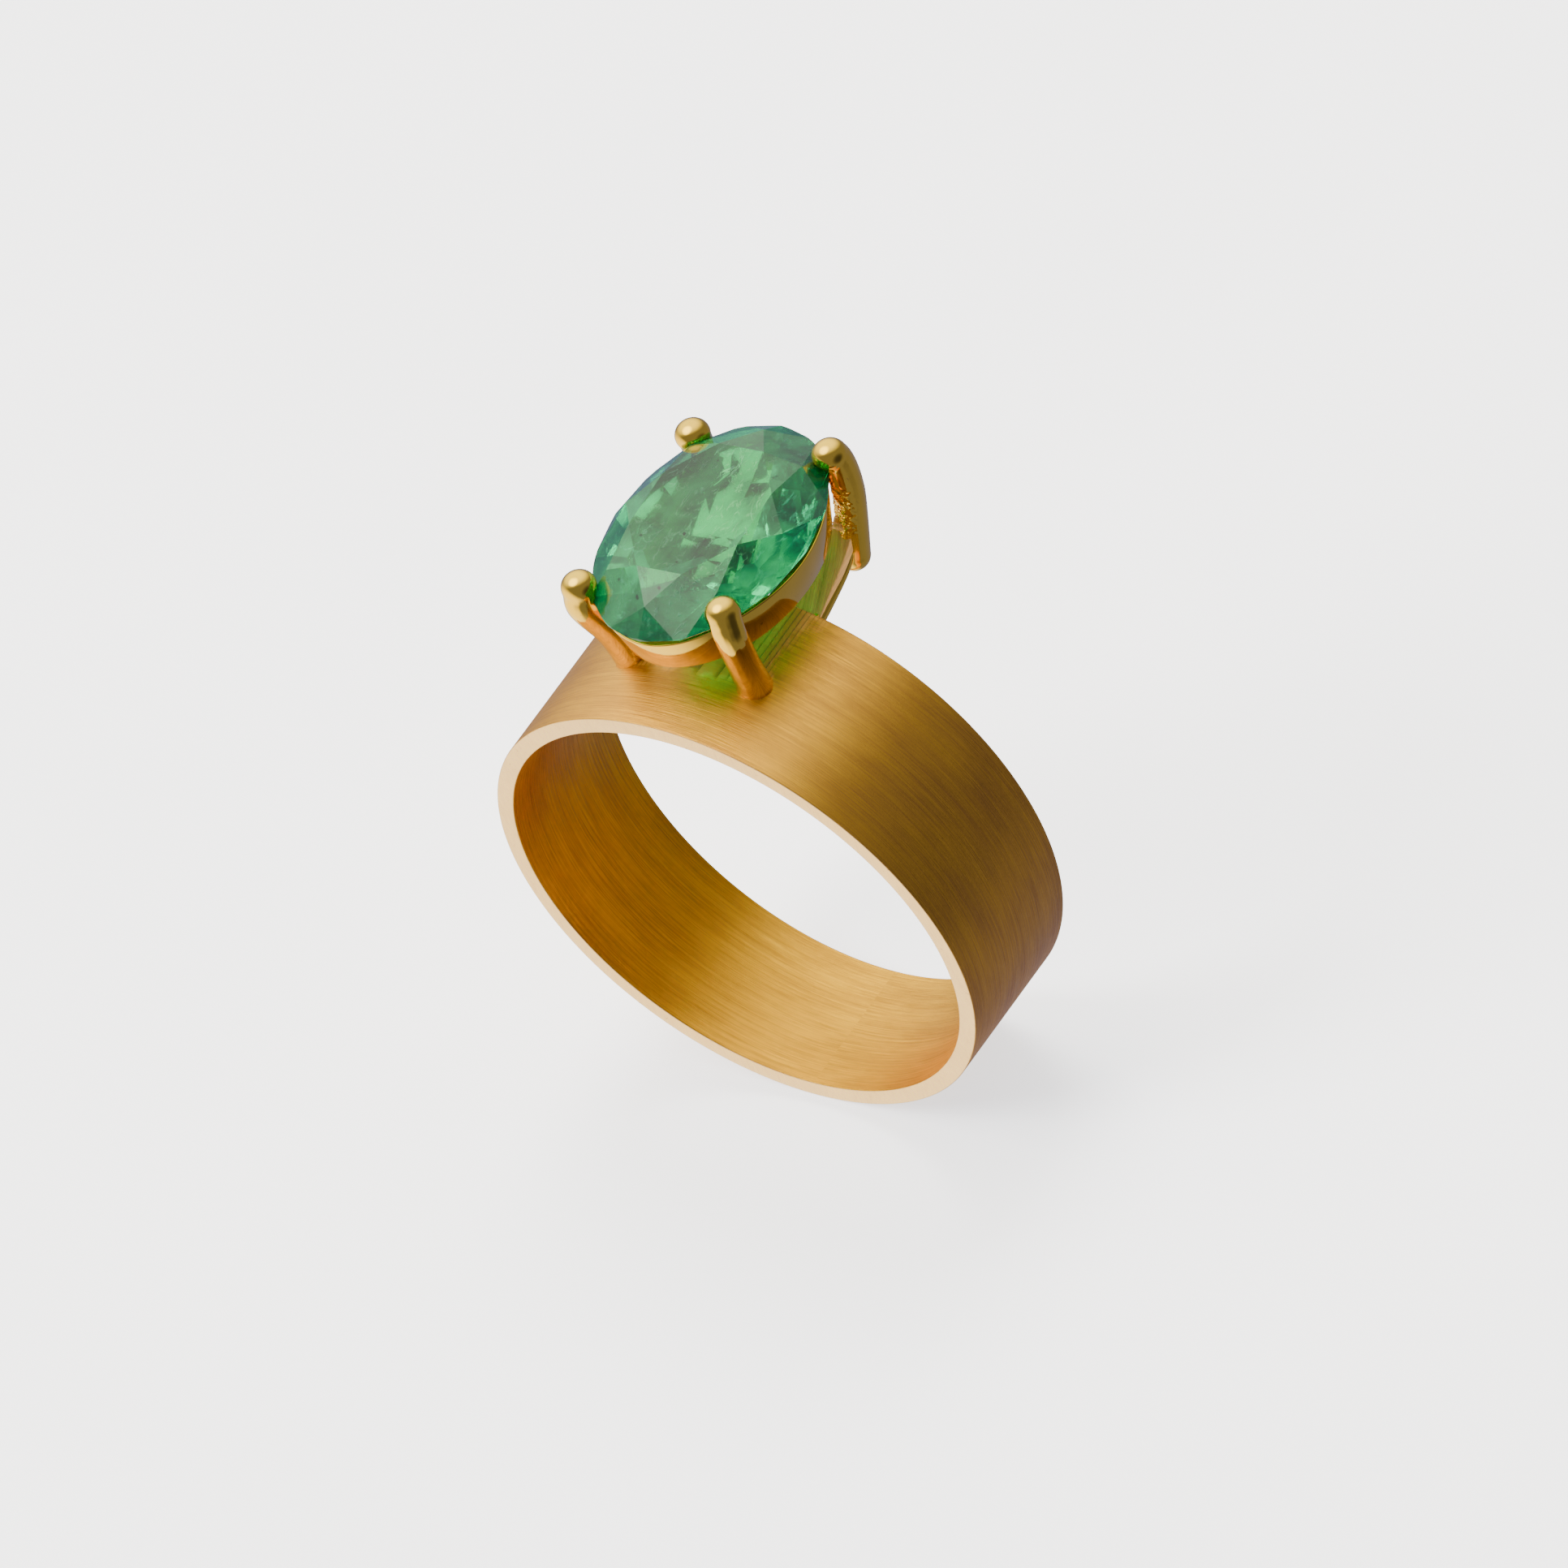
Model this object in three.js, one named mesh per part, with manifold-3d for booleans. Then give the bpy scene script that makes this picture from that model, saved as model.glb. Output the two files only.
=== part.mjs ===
// Cocktail ring: a wide gold band that carries an oval emerald in a four-claw head.
//
// Frame: millimetres, origin in the middle of the finger hole, finger axis along Y, head towards +Z.
// The head sits off centre towards +Y and overhangs that edge of the band. Its two front claws stand
// on the crown of the band. Its two back claws hang beyond the +Y edge, on curved arms and braces.
import * as THREE from 'three';
import { mergeVertices } from 'three/addons/utils/BufferGeometryUtils.js';
import { ConvexGeometry } from 'three/addons/geometries/ConvexGeometry.js';
import Module from 'manifold-3d';

const wasm = await Module();
wasm.setup();

// ---------------------------------------------------------------- driving dimensions

const GAP = 0.03;                      // clearance left between pieces that touch on the real ring

const BAND_OUTER_RADIUS = 9.4;
const BAND_WALL = 0.66;
const BAND_HALF_WIDTH = 3.0;           // halfway up the band
const BAND_TAPER = 0.03;               // half width gained per millimetre of height
const BAND_RIM_CHAMFER = 0.05;

const STONE_WIDTH = 7.65;
const STONE_LENGTH = 10.2;
const STONE_CROWN = 1.2;               // girdle to table
const STONE_PAVILION = 2.95;           // girdle to keel
const STONE_GIRDLE = 0.12;             // thickness of the girdle edge

const HEAD_HEIGHT = 13.0;              // girdle plane above the finger axis
const HEAD_OFFSET = 2.55;              // head centre from the middle of the band
const HEAD_TURN = THREE.MathUtils.degToRad(3);

const COLLAR_TOP = -0.2;               // measured from the girdle plane
const COLLAR_HEIGHT = 1.6;
const COLLAR_WALL = 0.42;
const COLLAR_TAPER = 0.3;              // how far the lower edge draws in
const COLLAR_DIP = 0.16;               // depth of the waves in the upper edge, between the claws

const CLAW_RADIUS = 0.56;
const CLAW_BALL_RADIUS = 0.63;
const CLAW_BALL_SQUASH = 0.86;         // the balls are domed, a little flatter than they are wide
const CLAW_TIP_RISE = 0.53;            // ball centre above the girdle plane
const CLAW_FLARE_RADIUS = 0.74;
const CLAW_FLARE_HEIGHT = 1.7;
const CLAW_FLARE_SINK = 0.25;          // the flare starts below the crown, so that its whole edge lands

const ARM_THICKNESS = 0.42;
const ARM_WIDTH = 0.85;
const BRACE_RADIUS = 0.27;

// Ball centres in the head's own plane. The front claws also have the point of the band on which
// they stand, how far the shoulder swings out past the ball, and the bow of the shaft below it.
const CLAWS = {
  front_left: { tip: [-3.0, -3.74], foot: [-3.0, -0.15], swing: 0.1, bow: -0.12 },
  front_right: { tip: [2.76, -3.66], foot: [2.25, -0.24], swing: 0.33, bow: 0.12 },
  back_left: { tip: [-2.6, 3.62] },
  back_right: { tip: [2.78, 3.9] },
};

// ---------------------------------------------------------------- finishes

const finishes = {
  brushed_gold: { color: 0xc8964e, roughness: 0.42, metalness: 1 },
  polished_gold: { color: 0xe2ae62, roughness: 0.12, metalness: 1 },
  emerald: { color: 0x0e8f58, roughness: 0.05, metalness: 0 },
};

function finish(name) {
  const material = new THREE.MeshStandardMaterial(finishes[name]);
  material.name = name;
  return material;
}

// ---------------------------------------------------------------- solid helpers

// A closed solid from a three.js geometry.
function solid(geometry) {
  const bare = new THREE.BufferGeometry();
  bare.setAttribute('position', geometry.getAttribute('position'));
  if (geometry.index) {
    bare.setIndex(geometry.index);
  }
  const welded = mergeVertices(bare, 1e-5);
  return new wasm.Manifold(new wasm.Mesh({
    numProp: 3,
    vertProperties: new Float32Array(welded.getAttribute('position').array),
    triVerts: new Uint32Array(welded.index.array),
  }));
}

function geometryOf(manifold) {
  const mesh = manifold.getMesh();
  const geometry = new THREE.BufferGeometry();
  geometry.setAttribute('position', new THREE.BufferAttribute(mesh.vertProperties, 3));
  geometry.setIndex(new THREE.BufferAttribute(mesh.triVerts, 1));
  return geometry;
}

function node(name, manifold, finishName) {
  const facets = geometryOf(manifold).toNonIndexed();
  facets.computeVertexNormals();
  const mesh = new THREE.Mesh(facets, finish(finishName));
  mesh.name = name;
  return mesh;
}

// A round bar of constant radius that follows a smooth line through the points.
function bar(points, radius, steps = 14) {
  const section = new THREE.Shape();
  section.absarc(0, 0, radius, 0, 2 * Math.PI, false);
  return new THREE.ExtrudeGeometry(section, {
    extrudePath: new THREE.CatmullRomCurve3(points, false, 'centripetal'),
    steps,
    curveSegments: 8,
    bevelEnabled: false,
  });
}

function ball(centre, radius, squash = 1) {
  const sphere = new THREE.SphereGeometry(radius, 18, 12).rotateX(Math.PI / 2);
  return sphere.scale(1, 1, squash).translate(centre.x, centre.y, centre.z);
}

// ---------------------------------------------------------------- band

// The band grows wider towards the head, so its two rims are flat planes that lean apart.
function halfWidthAt(z) {
  return BAND_HALF_WIDTH + BAND_TAPER * z;
}

function bandGeometry(outer, inner, chamfer, extraWidth = 0) {
  const c = chamfer;
  const profile = [
    [inner, -1, c],
    [inner + c, -1, 0],
    [outer - c, -1, 0],
    [outer, -1, c],
    [outer, 1, -c],
    [outer - c, 1, 0],
    [inner + c, 1, 0],
    [inner, 1, -c],
    [inner, -1, c],
  ].map(([radius, side, inset]) => new THREE.Vector2(radius, side + inset));
  const geometry = new THREE.LatheGeometry(profile, 112);
  const position = geometry.getAttribute('position');
  for (let i = 0; i < position.count; i += 1) {
    const inset = position.getY(i) - Math.sign(position.getY(i));
    const width = halfWidthAt(position.getZ(i)) + extraWidth;
    position.setY(i, Math.sign(position.getY(i)) * width + inset);
  }
  return geometry;
}

function buildBand() {
  const inner = BAND_OUTER_RADIUS - BAND_WALL;
  return solid(bandGeometry(BAND_OUTER_RADIUS, inner, BAND_RIM_CHAMFER));
}

// The band swollen by the clearance, used to trim the pieces that stand on it.
function bandClearance() {
  const inner = BAND_OUTER_RADIUS - BAND_WALL - GAP;
  return solid(bandGeometry(BAND_OUTER_RADIUS + GAP, inner, 0.01, GAP));
}

// ---------------------------------------------------------------- head frame

const headFrame = new THREE.Matrix4()
  .makeTranslation(0, HEAD_OFFSET, HEAD_HEIGHT)
  .multiply(new THREE.Matrix4().makeRotationZ(HEAD_TURN));

function inHead(x, y, z) {
  return new THREE.Vector3(x, y, z).applyMatrix4(headFrame);
}

// ---------------------------------------------------------------- emerald

// One ring of facet corners: an oval share of the girdle at a height.
function ovalRing(count, share, height, turn = 0) {
  return Array.from({ length: count }, (_, i) => {
    const angle = (2 * Math.PI * (i + turn)) / count;
    return new THREE.Vector3(
      (STONE_WIDTH / 2) * share * Math.cos(angle),
      (STONE_LENGTH / 2) * share * Math.sin(angle),
      height,
    );
  });
}

function stoneGeometry(growth = 0) {
  const corners = [
    ...ovalRing(8, 0.62, STONE_CROWN, 0.5),
    ...ovalRing(8, 0.83, STONE_CROWN * 0.62),
    ...ovalRing(32, 1, STONE_GIRDLE / 2),
    ...ovalRing(32, 1, -STONE_GIRDLE / 2),
    ...ovalRing(16, 0.62, -STONE_PAVILION * 0.55, 0.5),
    ...ovalRing(8, 0.1, -STONE_PAVILION),
  ];
  const grow = new THREE.Vector3(
    1 + (2 * growth) / STONE_WIDTH,
    1 + (2 * growth) / STONE_LENGTH,
    1 + growth / STONE_CROWN,
  );
  corners.forEach((corner) => corner.multiply(grow));
  return new ConvexGeometry(corners).applyMatrix4(headFrame);
}

// ---------------------------------------------------------------- collar

// The polished seat under the girdle: an oval ring that draws in towards the band.
function collarGeometry() {
  const top = STONE_WIDTH / 2 - 0.08;
  const foot = top - COLLAR_TAPER;
  const low = COLLAR_TOP - COLLAR_HEIGHT;
  const profile = [
    [foot - COLLAR_WALL, low],
    [foot, low],
    [top, COLLAR_TOP],
    [top - COLLAR_WALL, COLLAR_TOP],
    [foot - COLLAR_WALL, low],
  ].map(([radius, height]) => new THREE.Vector2(radius, height));
  const geometry = new THREE.LatheGeometry(profile, 64).rotateX(Math.PI / 2);
  const stretch = STONE_LENGTH / STONE_WIDTH;
  const position = geometry.getAttribute('position');
  for (let i = 0; i < position.count; i += 1) {
    const angle = Math.atan2(position.getY(i), position.getX(i));
    const lift = (position.getZ(i) - low) / COLLAR_HEIGHT;
    const wave = COLLAR_DIP * Math.cos(2 * angle) ** 2;
    position.setY(i, position.getY(i) * stretch);
    position.setZ(i, position.getZ(i) - wave * lift);
  }
  return geometry.applyMatrix4(headFrame);
}

// ---------------------------------------------------------------- claws

// A claw leaves its ball over the girdle, swings outwards and then runs down.
function clawTop(tip) {
  const [x, y] = tip;
  const outward = new THREE.Vector2(x, y).normalize();
  const point = (out, z) => inHead(x + outward.x * out, y + outward.y * out, z);
  return { point, ball: point(0, CLAW_TIP_RISE) };
}

function frontClawPath({ tip, foot, swing, bow }) {
  const { point, ball: end } = clawTop(tip);
  const [x, y] = foot;
  const shoulder = point(swing, -0.4);
  const root = new THREE.Vector3(x, y, Math.sqrt(BAND_OUTER_RADIUS ** 2 - x ** 2) - 0.1);
  const middle = root.clone().lerp(shoulder, 0.5).add(point(bow, 0).sub(point(0, 0)));
  return [end, point(0.6 * swing, 0.2), shoulder, middle, root];
}

function backClawPath({ tip }) {
  const { point, ball: end } = clawTop(tip);
  return [
    end,
    point(0.14, 0.2),
    point(0.2, -0.4),
    point(0.12, -1.35),
    point(-0.14, -2.5),
    point(-0.42, -3.6),
    point(-0.52, -3.98),
  ];
}

// The flared root that spreads on to the crown of the band.
function clawFlare(path) {
  const foot = path[path.length - 1];
  const along = path[path.length - 2].clone().sub(foot).normalize();
  const flare = new THREE.CylinderGeometry(
    CLAW_RADIUS * 0.9,
    CLAW_FLARE_RADIUS,
    CLAW_FLARE_HEIGHT + CLAW_FLARE_SINK,
    18,
  );
  flare.translate(0, (CLAW_FLARE_HEIGHT - CLAW_FLARE_SINK) / 2, 0);
  flare.applyQuaternion(new THREE.Quaternion().setFromUnitVectors(new THREE.Vector3(0, 1, 0), along));
  return flare.translate(foot.x, foot.y, foot.z);
}

function clawSolid(claw, growth = 0) {
  const standing = Boolean(claw.foot);
  const path = standing ? frontClawPath(claw) : backClawPath(claw);
  const shaft = solid(bar(path, CLAW_RADIUS + growth));
  let whole = shaft.add(solid(ball(path[0], CLAW_BALL_RADIUS + growth, CLAW_BALL_SQUASH)));
  if (standing) {
    whole = whole.add(solid(clawFlare(path)));
  } else {
    whole = whole.add(solid(ball(path[path.length - 1], CLAW_RADIUS + growth)));
  }
  return whole;
}

// ---------------------------------------------------------------- arms and braces

// An arm is a strip that leaves the far edge of the band and sweeps up to the back claw.
function armSolid(side, claw) {
  const meet = backClawPath(claw)[4];
  const rim = halfWidthAt(BAND_OUTER_RADIUS) - 0.1;
  const rootX = side * 2.3;
  const crown = Math.sqrt(BAND_OUTER_RADIUS ** 2 - 2.6 ** 2);
  const t = ARM_THICKNESS;
  const outline = new THREE.Shape();
  outline.moveTo(rim, crown - 0.02);
  outline.bezierCurveTo(rim + 0.9, crown + 0.45, meet.y - 0.7, crown + 0.8, meet.y - 0.15, meet.z + 0.1);
  outline.lineTo(meet.y + 0.1, meet.z - 0.4);
  outline.bezierCurveTo(meet.y - 0.5, crown + 0.5, rim + 1.0, crown + 0.45 - t, rim, crown - t);
  outline.closePath();
  const strip = new THREE.ExtrudeGeometry(outline, {
    depth: ARM_WIDTH,
    steps: 1,
    curveSegments: 10,
    bevelEnabled: false,
  });
  // The outline lies in the plane of Y and Z, and the strip is as wide as the extrusion along X.
  const swap = new THREE.Matrix4().makeBasis(
    new THREE.Vector3(0, 1, 0),
    new THREE.Vector3(0, 0, 1),
    new THREE.Vector3(1, 0, 0),
  );
  strip.translate(0, 0, -ARM_WIDTH / 2).applyMatrix4(swap).translate(rootX, 0, 0);
  return solid(strip);
}

// A brace is a short polished bar under the arm, from the far rim to the foot of the back claw.
function braceSolid(side, claw) {
  const path = backClawPath(claw);
  const foot = path[path.length - 2];
  const rim = halfWidthAt(BAND_OUTER_RADIUS) - 0.3;
  const middle = BAND_OUTER_RADIUS - BAND_WALL / 2;
  const x = side * 2.5;
  const crown = Math.sqrt(middle ** 2 - x ** 2);
  const points = [
    new THREE.Vector3(x, rim, crown + 0.02),
    new THREE.Vector3(x, rim + 0.75, crown + 0.14),
    new THREE.Vector3(x * 0.97, foot.y - 0.85, crown + 0.55),
    new THREE.Vector3(foot.x, foot.y - 0.1, foot.z + 0.5),
  ];
  return solid(bar(points, BRACE_RADIUS));
}

// ---------------------------------------------------------------- assembly

const bandRoom = bandClearance();
const stone = solid(stoneGeometry());
const stoneRoom = solid(stoneGeometry(GAP));
const clawNames = Object.keys(CLAWS);
const clawRoom = clawNames.map((name) => clawSolid(CLAWS[name], GAP));

const ring = new THREE.Group();
ring.name = 'cocktail_ring';
ring.add(node('band', buildBand(), 'brushed_gold'));

let collar = solid(collarGeometry()).subtract(stoneRoom);
clawRoom.forEach((room) => {
  collar = collar.subtract(room);
});
ring.add(node('collar', collar, 'polished_gold'));

clawNames.forEach((name) => {
  const claw = clawSolid(CLAWS[name]).subtract(bandRoom).subtract(stoneRoom);
  ring.add(node(`claw_${name}`, claw, 'polished_gold'));
});

[['left', -1], ['right', 1]].forEach(([sideName, side]) => {
  const claw = CLAWS[`back_${sideName}`];
  const room = clawSolid(claw, GAP);
  const arm = armSolid(side, claw).subtract(bandRoom).subtract(room);
  const brace = braceSolid(side, claw).subtract(bandRoom).subtract(room).subtract(armSolid(side, claw));
  ring.add(node(`arm_${sideName}`, arm, 'brushed_gold'));
  ring.add(node(`brace_${sideName}`, brace, 'polished_gold'));
});

ring.add(node('emerald', stone, 'emerald'));

export default ring;
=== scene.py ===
# %% [markdown]
# # A cocktail ring
# The ring is a wide brushed gold band with an oval emerald. Four polished claws hold the stone
# above a polished collar, and the whole head sits off centre, over the far edge of the band. The
# packed design gives the size and place of every piece, so the first step is to load it and
# measure it.

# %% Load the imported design
import math

import bpy
from mathutils import Matrix, Vector


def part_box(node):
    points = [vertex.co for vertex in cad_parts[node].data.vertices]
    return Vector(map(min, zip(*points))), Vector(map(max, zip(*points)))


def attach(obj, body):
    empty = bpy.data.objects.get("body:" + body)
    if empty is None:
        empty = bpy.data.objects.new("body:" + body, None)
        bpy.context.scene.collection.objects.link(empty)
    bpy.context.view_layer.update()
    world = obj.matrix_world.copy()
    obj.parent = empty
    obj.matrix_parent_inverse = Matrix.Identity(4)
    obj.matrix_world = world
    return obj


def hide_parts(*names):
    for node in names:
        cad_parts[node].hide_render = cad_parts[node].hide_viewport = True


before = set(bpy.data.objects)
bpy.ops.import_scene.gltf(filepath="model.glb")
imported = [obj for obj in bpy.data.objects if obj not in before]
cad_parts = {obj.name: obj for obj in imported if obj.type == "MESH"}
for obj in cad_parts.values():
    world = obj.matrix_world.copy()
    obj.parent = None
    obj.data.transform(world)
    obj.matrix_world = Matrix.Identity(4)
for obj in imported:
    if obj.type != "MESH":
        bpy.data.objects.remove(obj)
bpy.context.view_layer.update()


def cad_box_mm(node):
    low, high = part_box(node)
    return Vector(low) * 1000, Vector(high) * 1000


for node in sorted(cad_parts):
    low, high = cad_box_mm(node)
    print(node, "size in mm", [round(v, 2) for v in (high - low)])

# %% [markdown]
# ## Measures
# A ring is small, so every piece is modelled in millimetres and brought down to metres when it is
# done. Blender's merge distances and voxel sizes then work as they do on a larger object. The big
# measures are read from the design, and the small ones are the goldsmith's: wall, bevels and
# wire.

# %% Measures in millimetres
BAND_LOW, BAND_HIGH = cad_box_mm("band")
STONE_LOW, STONE_HIGH = cad_box_mm("emerald")

BAND_OUTER = BAND_HIGH.z
BAND_WALL = 0.66
BAND_TAPER = 0.03
BAND_HALF = BAND_HIGH.y - BAND_TAPER * BAND_OUTER

STONE_CROWN = 1.2
STONE_PAVILION = 2.95
STONE_HALF_WIDTH = 7.65 / 2
STONE_HALF_LENGTH = 10.2 / 2
HEAD_TURN = math.radians(3)
HEAD = Vector((
    (STONE_LOW.x + STONE_HIGH.x) / 2,
    (STONE_LOW.y + STONE_HIGH.y) / 2,
    STONE_HIGH.z - STONE_CROWN,
))

COLLAR_TOP = -0.2
COLLAR_HEIGHT = 1.6
COLLAR_WALL = 0.42
COLLAR_TAPER = 0.3
COLLAR_DIP = 0.16

CLAW_RADIUS = 0.58
BALL_RADIUS = 0.63
BALL_SQUASH = 0.86
TIP_RISE = 0.53

CLAWS = {
    "claw_front_left": {"tip": (-3.0, -3.74), "foot": (-3.0, -0.15), "swing": 0.1, "bow": -0.12},
    "claw_front_right": {"tip": (2.76, -3.66), "foot": (2.25, -0.24), "swing": 0.33, "bow": 0.12},
    "claw_back_left": {"tip": (-2.6, 3.62)},
    "claw_back_right": {"tip": (2.78, 3.9)},
}

IN_HEAD = Matrix.Translation(HEAD) @ Matrix.Rotation(HEAD_TURN, 4, "Z")
print("head centre in mm", [round(v, 2) for v in HEAD])


def half_width_at(z):
    return BAND_HALF + BAND_TAPER * z


# %% [markdown]
# ## Camera
# The ring is seen from above its open side, with a long lens, as small jewellery is: a long lens
# keeps the near and far rims almost the same size. The camera is turned a little about its own
# view, so the head leans to the left. It is placed from three directions: right, up and towards
# the lens.

# %% Camera
VIEW_WIDTH = 53.1
VIEW_DISTANCE = 1200
VIEW_RIGHT = Vector((0.8075, 0.5163, -0.2852)).normalized()
VIEW_BACK = VIEW_RIGHT.cross(Vector((-0.2043, 0.6983, 0.6861))).normalized()
VIEW_UP = VIEW_BACK.cross(VIEW_RIGHT)
VIEW_CENTRE = VIEW_RIGHT * 0.088 + VIEW_UP * 2.26

camera_data = bpy.data.cameras.new("camera")
camera_data.sensor_width = 36
camera_data.lens = 36 * VIEW_DISTANCE / VIEW_WIDTH
camera_data.clip_start = 0.01
camera_data.clip_end = 20
camera = bpy.data.objects.new("camera", camera_data)
bpy.context.collection.objects.link(camera)
camera_place = (VIEW_CENTRE + VIEW_BACK * VIEW_DISTANCE) * 0.001
camera.matrix_world = Matrix.Translation(camera_place) @ Matrix(
    (VIEW_RIGHT, VIEW_UP, VIEW_BACK)
).transposed().to_4x4()
bpy.context.scene.camera = camera
print("lens in mm", round(camera_data.lens))

# %% [markdown]
# ## Helpers for modelling
# An operator acts on everything that is selected, so each piece starts from an empty selection.
# Faces and edges are then picked by their place. A finished piece is brought down to metres, with
# its place in its mesh, and is told which body it rides on, and the part of the design that it
# stands for is hidden.


# %% Helpers for modelling
SHARP = math.radians(50)


def start_clean():
    if bpy.context.object and bpy.context.object.mode != "OBJECT":
        bpy.ops.object.mode_set(mode="OBJECT")
    bpy.ops.object.select_all(action="DESELECT")


def edit(piece, mode="VERT"):
    bpy.context.view_layer.objects.active = piece
    piece.select_set(True)
    bpy.ops.object.mode_set(mode="EDIT")
    bpy.ops.mesh.select_mode(type=mode)


def leave_edit():
    bpy.ops.object.mode_set(mode="OBJECT")


def pick_points(piece, test):
    bpy.ops.mesh.select_mode(type="VERT")
    bpy.ops.mesh.select_all(action="DESELECT")
    leave_edit()
    for point in piece.data.vertices:
        point.select = test(point.co)
    bpy.ops.object.mode_set(mode="EDIT")


def apply_modifier(piece, kind, **settings):
    bpy.context.view_layer.objects.active = piece
    modifier = piece.modifiers.new(kind.lower(), kind)
    for key, value in settings.items():
        setattr(modifier, key, value)
    bpy.ops.object.modifier_apply(modifier=modifier.name)


def clamp(value):
    return min(1.0, max(0.0, value))


def soften(piece, width, segments):
    """A small bevel on the sharp edges."""
    apply_modifier(
        piece, "BEVEL", width=width, segments=segments, limit_method="ANGLE", angle_limit=SHARP
    )


def join(pieces):
    start_clean()
    for piece in pieces:
        piece.select_set(True)
    bpy.context.view_layer.objects.active = pieces[0]
    bpy.ops.object.join()
    return pieces[0]


def bake_place(piece, matrix=None):
    """Puts the object's place, turn and scale, and then the matrix, into its mesh."""
    start_clean()
    bpy.context.view_layer.objects.active = piece
    piece.select_set(True)
    bpy.ops.object.transform_apply(location=True, rotation=True, scale=True)
    if matrix is not None:
        piece.data.transform(matrix)


def hand_over(piece, name, nodes, materials, smooth=None):
    """Finishes a piece: metres, outward faces, shading, finish, body and its design nodes."""
    bake_place(piece, Matrix.Scale(0.001, 4))
    piece.name = name
    piece.data.name = name
    edit(piece)
    bpy.ops.mesh.select_all(action="SELECT")
    bpy.ops.mesh.normals_make_consistent(inside=False)
    leave_edit()
    if smooth is not None:
        bpy.ops.object.shade_smooth_by_angle(angle=math.radians(smooth))
    piece.data.materials.clear()
    for material in materials:
        piece.data.materials.append(material)
    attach(piece, "root")
    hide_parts(*nodes)
    print(name, len(piece.data.polygons), "faces")


print("edges sharper than", round(math.degrees(SHARP)), "degrees get a bevel")

# %% [markdown]
# ## Node helpers
# Every finish is made of nodes. Short helpers add a node with its values and links, and others
# wrap the kinds that come back most, so that each finish below reads as a list of what it is made
# of.


# %% Node helpers
def fill_inputs(tree, node, inputs):
    """A socket is linked to the input, and a plain value is set on it."""
    for key, value in inputs.items():
        if isinstance(value, bpy.types.NodeSocket):
            tree.links.new(value, node.inputs[key])
        else:
            node.inputs[key].default_value = value


def add_node(tree, kind, inputs=None, **settings):
    node = tree.nodes.new(kind)
    for key, value in settings.items():
        setattr(node, key, value)
    fill_inputs(tree, node, inputs or {})
    return node


def math_node(tree, operation, a, b=0.0):
    return add_node(tree, "ShaderNodeMath", {0: a, 1: b}, operation=operation).outputs[0]


def map_range(tree, value, low, high, to_low=0.0, to_high=1.0, smooth=False):
    node = add_node(
        tree,
        "ShaderNodeMapRange",
        {"Value": value, "From Min": low, "From Max": high, "To Min": to_low, "To Max": to_high},
        interpolation_type="SMOOTHSTEP" if smooth else "LINEAR",
    )
    return node.outputs["Result"]


def mix_colour(tree, factor, a, b):
    """A Mix node's inputs 0, 6 and 7 are the factor and two colours, and output 2 is the colour."""
    node = tree.nodes.new("ShaderNodeMix")
    node.data_type = "RGBA"
    fill_inputs(tree, node, {0: factor, 6: a, 7: b})
    return node.outputs[2]


def noise(tree, place, scale, detail=2.0, rough=0.5, distortion=0.0):
    node = add_node(
        tree,
        "ShaderNodeTexNoise",
        {
            "Vector": place,
            "Scale": scale,
            "Detail": detail,
            "Roughness": rough,
            "Distortion": distortion,
        },
    )
    return node.outputs["Fac"]


def stretched(tree, place, scale, rotation=(0, 0, 0)):
    node = add_node(
        tree,
        "ShaderNodeMapping",
        {"Vector": place, "Scale": scale, "Rotation": rotation},
    )
    return node.outputs["Vector"]


def new_material(name):
    material = bpy.data.materials.new(name)
    material.use_nodes = True
    shader = material.node_tree.nodes["Principled BSDF"]
    return material, material.node_tree, shader


print("node helpers ready")

# %% [markdown]
# ## Brush strokes
# A satin band is rubbed round and round with an abrasive pad. That leaves thousands of hair-fine
# scratches that run with the finger, some long and some short, and none exactly parallel. The
# group draws them on a flat map of the band, where one axis runs round the ring and the other
# across it: three layers of noise are drawn out along the first axis, each turned by a degree or
# two.

# %% Brush strokes as a node group
# Each layer: how far it is drawn out, how fine it is across, and its turn in degrees.
STROKE_LAYERS = ((0.14, 11, 0.6), (0.3, 24, -1.1), (0.7, 46, 1.6))


def build_brush_group():
    group = bpy.data.node_groups.new("brush_strokes", "ShaderNodeTree")
    group.interface.new_socket("Map", in_out="INPUT", socket_type="NodeSocketVector")
    group.interface.new_socket("Fineness", in_out="INPUT", socket_type="NodeSocketFloat")
    group.interface.new_socket("Strokes", in_out="OUTPUT", socket_type="NodeSocketFloat")
    group.interface.new_socket("Patches", in_out="OUTPUT", socket_type="NodeSocketFloat")
    source = group.nodes.new("NodeGroupInput")
    sink = group.nodes.new("NodeGroupOutput")
    place = add_node(
        group,
        "ShaderNodeVectorMath",
        {0: source.outputs["Map"], "Scale": source.outputs["Fineness"]},
        operation="SCALE",
    ).outputs["Vector"]
    layers = []
    for along, across, turn in STROKE_LAYERS:
        drawn = stretched(group, place, (along, across, 1), (0, 0, math.radians(turn)))
        layers.append(noise(group, drawn, 1.0, detail=3, rough=0.6))
    total = math_node(group, "ADD", layers[0], layers[1])
    total = math_node(group, "ADD", total, layers[2])
    total = math_node(group, "DIVIDE", total, 3.0)
    group.links.new(map_range(group, total, 0.41, 0.59), sink.inputs["Strokes"])
    broad = stretched(group, place, (0.25, 0.9, 1))
    group.links.new(noise(group, broad, 1.0, detail=4), sink.inputs["Patches"])
    return group


BRUSH = build_brush_group()
print("node group", BRUSH.name)
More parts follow.
